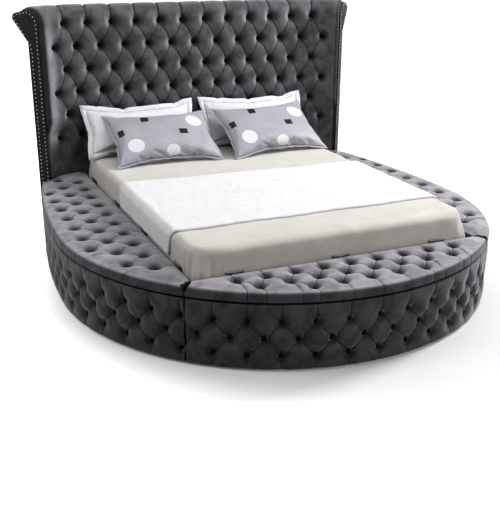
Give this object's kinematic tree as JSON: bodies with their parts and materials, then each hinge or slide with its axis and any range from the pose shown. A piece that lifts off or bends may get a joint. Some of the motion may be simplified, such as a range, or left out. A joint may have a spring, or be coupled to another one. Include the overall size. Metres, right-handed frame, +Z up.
{
  "type": "upholstered storage bed",
  "caption": "Round-footed upholstered bed with hinged lids over storage boxes, a tall winged headboard with diamond tufting and a rolled top, and a made-up mattress.",
  "frame": {"origin": "on the floor, under the middle of the whole bed's box", "axes": "+Z up, +Y from the round foot end towards the headboard, +X to the right as seen from the foot end"},
  "size_m": [2.4198, 2.614, 1.4344],
  "materials": {
    "velvet": "short velvet pile with a light sheen",
    "dark_lining": "plain dark cloth",
    "sheet": "matt cotton sheet",
    "fleece": "deep curly pile",
    "white_cotton": "matt cotton",
    "printed_cotton": "matt cotton with a small print",
    "plywood": "sealed birch plywood",
    "steel": "dull zinc plating",
    "black_plastic": "matt"
  },
  "bodies": {
    "bed": {"mattress": "sheet", "throw": "fleece", "sham_left": "white_cotton", "sham_right": "white_cotton", "pillow_left": "printed_cotton", "pillow_right": "printed_cotton", "slats": "plywood", "side_ledgers": "plywood", "centre_beam": "plywood", "centre_legs": "plywood", "head_rail": "plywood", "rail_bolts": "steel", "left_inner_wall": "plywood", "left_end_walls": "plywood", "left_floor": "plywood", "left_shell": "plywood", "left_cover": "velvet", "right_inner_wall": "plywood", "right_end_walls": "plywood", "right_floor": "plywood", "right_shell": "plywood", "right_cover": "velvet", "foot_inner_wall": "plywood", "foot_corner_posts": "plywood", "foot_floor": "plywood", "foot_shell": "plywood", "foot_cover": "velvet", "glides": "black_plastic", "left_hinge_leaves": "steel", "right_hinge_leaves": "steel", "foot_hinge_leaves": "steel", "headboard_core": "plywood", "headboard_tufting": "velvet", "headboard_lower_pad": "dark_lining", "headboard_back": "dark_lining", "headboard_roll": "velvet", "wing_band_left": "velvet", "wing_band_right": "velvet"},
    "left_lid": {"left_lid_board": "plywood", "left_lid_cushion": "velvet", "left_lid_leaves": "steel"},
    "right_lid": {"right_lid_board": "plywood", "right_lid_cushion": "velvet", "right_lid_leaves": "steel"},
    "foot_lid": {"foot_lid_board": "plywood", "foot_lid_cushion": "velvet", "foot_lid_leaves": "steel"}
  },
  "joints": [
    {"name": "left_lid_hinge", "type": "hinge", "parent": "bed", "child": "left_lid", "pos_m": [-0.775, -0.097, 0.392], "axis": [0, 1, 0], "range_deg": [0, 50]},
    {"name": "right_lid_hinge", "type": "hinge", "parent": "bed", "child": "right_lid", "pos_m": [0.775, -0.097, 0.392], "axis": [0, -1, 0], "range_deg": [0, 50]},
    {"name": "foot_lid_hinge", "type": "hinge", "parent": "bed", "child": "foot_lid", "pos_m": [0, -0.91602, 0.392], "axis": [-1, 0, 0], "range_deg": [0, 50]}
  ]
}
